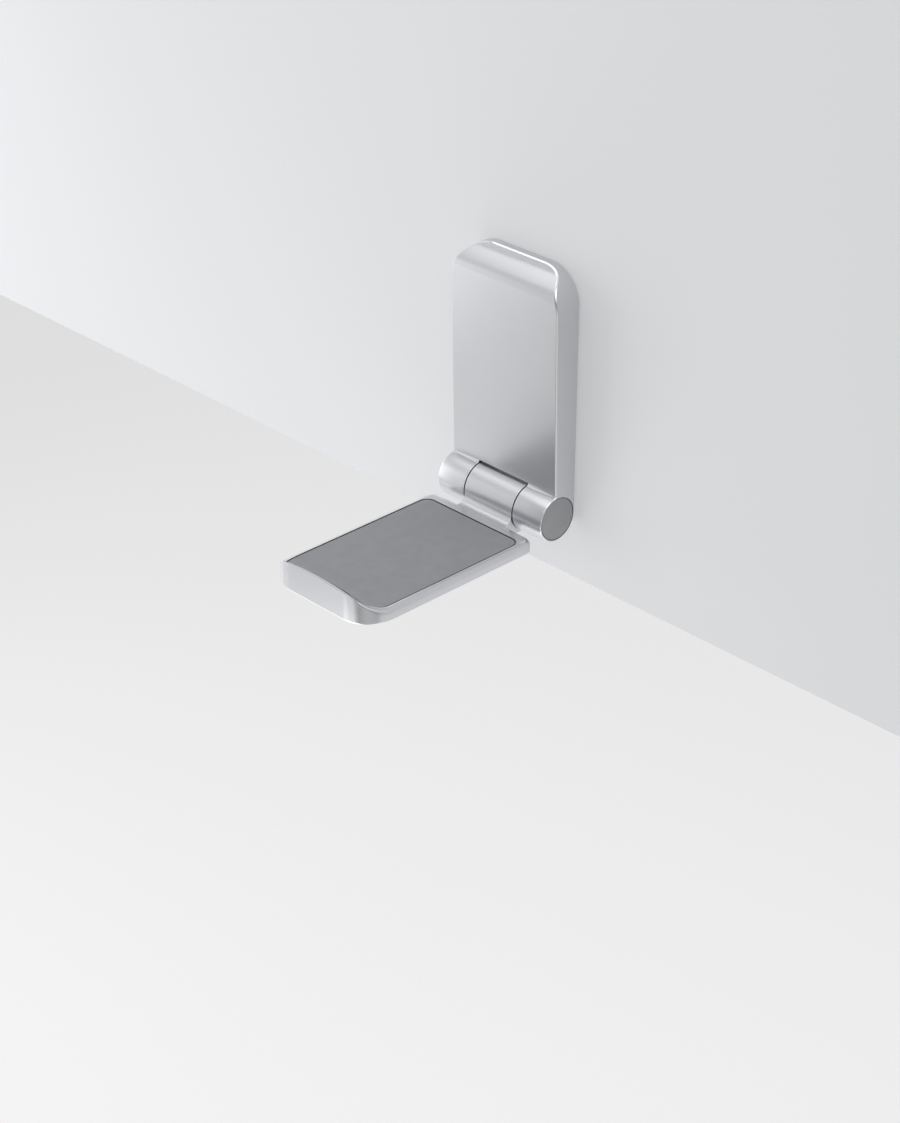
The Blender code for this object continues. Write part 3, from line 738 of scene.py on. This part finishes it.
def arch(x):
    """Share of the lip's rise at x: the lip is highest in its middle."""
    return LIP_ARCH - LIP_ARCH_FALL * min(abs(x), LIP_ARCH_HALF) ** 2


def floor_height(x, station):
    """Height of the arm's upper face, which sweeps up to the lip's crest."""
    rise = soft_min(lip_rise(station - LIP_CREST_START), LIP_CREST - ARM_FLOOR)
    return ARM_FLOOR + arch(x) * rise


def edge_height(x, station):
    """Height of the arm's outer edge, which sweeps up at the tip too."""
    rise = soft_min(lip_rise(station - LIP_EDGE_START), LIP_EDGE - ARM_SIDE_EDGE)
    return ARM_SIDE_EDGE + arch(x) * rise


def rim_height(share):
    """Height between the outer edge and the floor at a share of the rounding."""
    def height(x, station):
        edge = edge_height(x, station)
        return edge + share * (floor_height(x, station) - edge)
    return height


def level_at(height):
    """Height function of a flat level."""
    return lambda x, station: height


def below_floor(depth):
    """Height function of a level at a depth below the arm's upper face."""
    return lambda x, station: floor_height(x, station) - depth


def inlay_height(drop):
    """Height function of the inlay: near the tip it leans up, so that its edge is level with the rim."""
    def height(x, station):
        start = INLAY_LEAN_START
        share = min(max((station - start) / (ARM_REACH - RIM_WIDTH - start), 0.0), 1.0)
        return floor_height(x, station + INLAY_LEAN * share ** 2) - drop
    return height


def arm_level(inset, start, start_corner, height):
    """Level of the arm's outline at an inset, with its height function."""
    rungs = half_outline(HALF_WIDTH - inset, start, ARM_REACH - inset, start_corner,
                         ARM_TIP_CORNER - inset)
    return rungs, height


def body_level(inset, height):
    """Level of the arm's body."""
    return arm_level(inset, ARM_START + inset, ARM_START_CORNER - inset, height)


def recess_level(inset, height):
    """Level of the recess, or of the inlay in it."""
    return arm_level(RIM_WIDTH + inset, RECESS_START + inset, RECESS_CORNER - inset, height)


def knuckle_section():
    """Centre knuckle and neck in (y, z) from the axis: a circle that runs out into the neck."""
    top = ARM_FLOOR - NECK_SINK
    bottom = ARM_UNDERSIDE + NECK_SINK
    fillet_z = top + NECK_FILLET
    fillet_y = -math.sqrt((BARREL_RADIUS + NECK_FILLET) ** 2 - fillet_z ** 2)
    meet = math.degrees(math.atan2(-fillet_z, -fillet_y))
    fillet = arc((fillet_y, fillet_z), NECK_FILLET, -90, meet, NECK_FILLET_STEPS)
    end = -180 - math.degrees(math.asin(bottom / BARREL_RADIUS))
    circle = arc((0, 0), BARREL_RADIUS, 180 + meet, end, ROUND_SEGMENTS)
    return [(-NECK_END, bottom), (-NECK_END, top), *fillet[:-1], *circle]


def build_arm(metal, polished):
    """The arm: body with a rounded rim and raised lip, centre knuckle, recess and hinge bore."""
    levels = [
        body_level(ARM_CHAMFER + EDGE_ROUND, level_at(ARM_UNDERSIDE)),
        body_level(ARM_CHAMFER_INSET, level_at(ARM_UNDERSIDE + ARM_CHAMFER_RISE)),
        body_level(0, level_at(ARM_UNDERSIDE + ARM_CHAMFER)),
    ]
    for index in range(RIM_STEPS + 1):
        angle = math.pi / 2 * index / RIM_STEPS
        levels.append(body_level(RIM_WIDTH * (1 - math.cos(angle)), rim_height(math.sin(angle))))
    arm = arched_solid("arm_frame", levels, level_slots=[1, 1] + [0] * RIM_STEPS + [1])
    arm.data.materials.append(metal)
    arm.data.materials.append(polished)

    knuckle = prism("knuckle", knuckle_section(), -KNUCKLE_HALF, KNUCKLE_HALF, along_x,
                    on_axis=True)
    combine(arm, knuckle, "UNION")
    recess = [recess_level(0, below_floor(RECESS_DEPTH)), recess_level(0, below_floor(-CUT_PAST))]
    combine(arm, arched_solid("recess", recess), "DIFFERENCE")
    reach = KNUCKLE_HALF + CUT_PAST
    inner = BUSHING_FLOOR_X
    bore = [(0, -reach), (BUSHING_SEAT, -reach), (BUSHING_SEAT, -inner), (PIN_BORE, -inner),
            (PIN_BORE, inner), (BUSHING_SEAT, inner), (BUSHING_SEAT, reach), (0, reach)]
    combine(arm, turned("bore", bore, along_x, SMALL_SEGMENTS, on_axis=True), "DIFFERENCE")
    smooth(arm)
    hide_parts("arm")
    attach(arm, "arm")


def build_inlay(top, side):
    """Silicone inlay whose side walls are painted near-black as shade of the gap round it, following the
    sweep up to the lip.
    """
    levels = [recess_level(INLAY_GAP, below_floor(INLAY_BOTTOM))]
    for index in range(INLAY_STEPS + 1):
        angle = math.pi / 2 * index / INLAY_STEPS
        inset = INLAY_GAP + INLAY_ROUND * (1 - math.cos(angle))
        drop = INLAY_ROUND * (1 - math.sin(angle))
        levels.append(recess_level(inset, inlay_height(drop)))
    # Slot 1 puts the near-black painted-shade silicone on the side walls.
    inlay = arched_solid("silicone_inlay", levels, level_slots=[1] + [0] * INLAY_STEPS)
    inlay.data.materials.append(top)
    inlay.data.materials.append(side)
    smooth(inlay)
    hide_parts("arm_pad")
    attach(inlay, "arm")


# ---------------------------------------------------------------- back of the plate

def build_tape(foam):
    """Foam tape, whose cut edge bulges slightly."""
    low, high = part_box("adhesive_pad")
    levels = []
    for share, inset in TAPE_BULGE:
        corner = TAPE_CORNER - inset
        outline = half_outline(high.x / MM - inset, low.z / MM + inset, high.z / MM - inset,
                               corner, corner)
        height = -high.y / MM + share * (high.y - low.y) / MM
        levels.append([(half, z, height) for half, z in outline])
    tape = ladder_solid("foam_tape", levels)
    tape.data.materials.append(foam)
    smooth(tape)
    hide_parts("adhesive_pad")
    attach(tape, "plate")


def paint_nodes():
    """Node materials for the CAD pieces that stay as they are."""
    steel = zinc_steel()
    plastic = acetal()
    painted = {"back_plate": pressed_steel(), "pad_adhesive": adhesive_film()}
    for name in NODES:
        if name.startswith(("back_plate_screw", "disc_spring", "hinge_pin", "lock_nut", "stop_pin")):
            painted[name] = steel
        if name.startswith(("friction_washer", "bushing")):
            painted[name] = plastic
    for name, material in painted.items():
        mesh = NODES[name].data
        mesh.materials.clear()
        mesh.materials.append(material)


# ---------------------------------------------------------------- stage, light, camera

# Wall and floor; WALL_HOLE is (half width, bottom, top, corner)
WALL_EDGE_Z = -56.0
WALL_REACH = 3000.0
WALL_HOLE = (18.6, -39.0, 34.8, 8.1)
WALL_TONE = (0.64, 0.65, 0.67)
WALL_GLOW = 0.25
FLOOR_Z = -750.0
FLOOR_REACH = 12000.0
FLOOR_FRONT = -300.0
FLOOR_TONE = (0.75, 0.75, 0.75)
FLOOR_GLOW = 0.46

# Lights in metres and watts: boxes are (distance, size), rows are (name, azimuth, elevation, box, power).
# The rows aren't a hand-made design: a least-squares program chose the directions from a grid and gave
# starting powers. Several of those powers were kept; the others and the wide boxes were set one by one.
WORLD_LIGHT = 0.3
LIGHT_CENTRE = Vector((0.0, -0.03, -0.005))
FAR_BOX = (1.2, 0.8)
WIDE_BOX = (1.2, 1.2)
NEAR_BOX = (0.35, 0.2)
NEAR_WIDE_BOX = (0.35, 0.3)
LIGHTS = (
    ("left", -75, 15, WIDE_BOX, 2.6),
    ("high_left", -75, 65, FAR_BOX, 2.2),
    ("far_low_left", -75, -10, WIDE_BOX, 1.6),
    ("low_left", -50, -10, FAR_BOX, 0.3),
    ("floor_left", -50, -30, FAR_BOX, 0.16),
    ("front_left", -25, 15, FAR_BOX, 0.4),
    ("right_high", 75, 40, FAR_BOX, 2.1),
    ("right_top", 75, 65, FAR_BOX, 3.4),
    ("right_low", 45, -30, FAR_BOX, 0.6),
    ("near_left", -70, 0, NEAR_WIDE_BOX, 0.22),
    ("near_top", -15, 50, NEAR_BOX, 0.07),
    ("near_below", -15, -50, NEAR_BOX, 0.22),
    ("near_low_left", -45, -25, NEAR_BOX, 0.008),
    ("near_below_left", -45, -50, NEAR_BOX, 0.08),
)

CAMERA_PLACE = Vector((0.4288, -0.4442, 0.2900))
CAMERA_AIM = Vector((-0.0069, -0.0221, -0.0534))
CAMERA_LENS = 79.6
CAMERA_SENSOR = 36.0
CAMERA_CLIP = (0.01, 50.0)


def flat_sheet(name, outlines, place, material):
    """Flat backdrop between outlines: the first is its edge, any others are holes."""
    work = bmesh.new()
    edges = []
    for outline in outlines:
        corners = [work.verts.new(Vector(place(u, v)) * MM) for u, v in outline]
        edges += [work.edges.new((corners[index - 1], corners[index])) for index in range(len(corners))]
    bmesh.ops.triangle_fill(work, edges=edges, use_beauty=True)
    mesh = bpy.data.meshes.new(name)
    work.to_mesh(mesh)
    work.free()
    mesh.materials.append(material)
    sheet = bpy.data.objects.new(name, mesh)
    bpy.context.scene.collection.objects.link(sheet)
    return sheet


def build_stage():
    """A plain wall behind the plate, open where the pad hides it, and a plain floor below."""
    reach = WALL_REACH
    wall = [(-reach, WALL_EDGE_Z), (reach, WALL_EDGE_Z), (reach, reach), (-reach, reach)]
    half_width, bottom, top, corner = WALL_HOLE
    side = half_outline(half_width, bottom, top, corner, corner)
    hole = side + [(-half, z) for half, z in reversed(side)]
    flat_sheet("wall", [wall, hole], lambda u, v: (u, 0.0, v),
               backdrop("wall_paint", WALL_TONE, one_sided=True, glow=WALL_GLOW))
    reach = FLOOR_REACH
    floor = [(-reach, FLOOR_FRONT), (reach, FLOOR_FRONT), (reach, reach), (-reach, reach)]
    flat_sheet("floor", [floor], lambda u, v: (u, v, FLOOR_Z),
               backdrop("floor_paint", FLOOR_TONE, glow=FLOOR_GLOW))


def soft_box(name, azimuth, elevation, box, power):
    """Square light aimed at the object; azimuth 0 is straight in front and positive is to the right."""
    distance, size = box
    turn = math.radians(azimuth)
    rise = math.radians(elevation)
    direction = Vector((math.sin(turn) * math.cos(rise), -math.cos(turn) * math.cos(rise),
                        math.sin(rise)))
    data = bpy.data.lights.new(name, "AREA")
    data.shape = "SQUARE"
    data.size = size
    data.energy = power
    lamp = bpy.data.objects.new(name, data)
    lamp.location = LIGHT_CENTRE + direction * distance
    lamp.rotation_euler = (-direction).to_track_quat("-Z", "Y").to_euler()
    lamp.visible_camera = False
    bpy.context.scene.collection.objects.link(lamp)


def build_lights():
    """Pale surroundings, large boxes further off, and small boxes close by in front and on the left."""
    world = bpy.data.worlds.new("studio")
    bpy.context.scene.world = world
    world.use_nodes = True
    background = world.node_tree.nodes["Background"]
    background.inputs["Color"].default_value = (1.0, 1.0, 1.0, 1.0)
    background.inputs["Strength"].default_value = WORLD_LIGHT
    for name, azimuth, elevation, box, power in LIGHTS:
        soft_box(name, azimuth, elevation, box, power)


def build_camera():
    """Camera in front of the object, to its right and above it."""
    data = bpy.data.cameras.new("camera")
    data.lens = CAMERA_LENS
    data.sensor_width = CAMERA_SENSOR
    data.clip_start, data.clip_end = CAMERA_CLIP
    camera = bpy.data.objects.new("camera", data)
    camera.location = CAMERA_PLACE
    camera.rotation_euler = (CAMERA_AIM - CAMERA_PLACE).to_track_quat("-Z", "Y").to_euler()
    bpy.context.scene.collection.objects.link(camera)
    bpy.context.scene.camera = camera


# ---------------------------------------------------------------- the whole scene

aluminium = satin_aluminium()
bright = polished_edge()
build_plate(aluminium, bright)
build_caps(cap_aluminium())
build_arm(aluminium, bright)
# The second silicone is a near-black copy, used as painted shade on the inlay's side walls.
build_inlay(grey_silicone("grey_silicone", *SILICONE_TOP),
            grey_silicone("silicone_side_painted_shade", *SILICONE_SIDE_PAINTED_SHADE))
build_tape(foam_tape())
paint_nodes()
build_stage()
build_lights()
build_camera()
bpy.context.scene.view_settings.view_transform = "Standard"
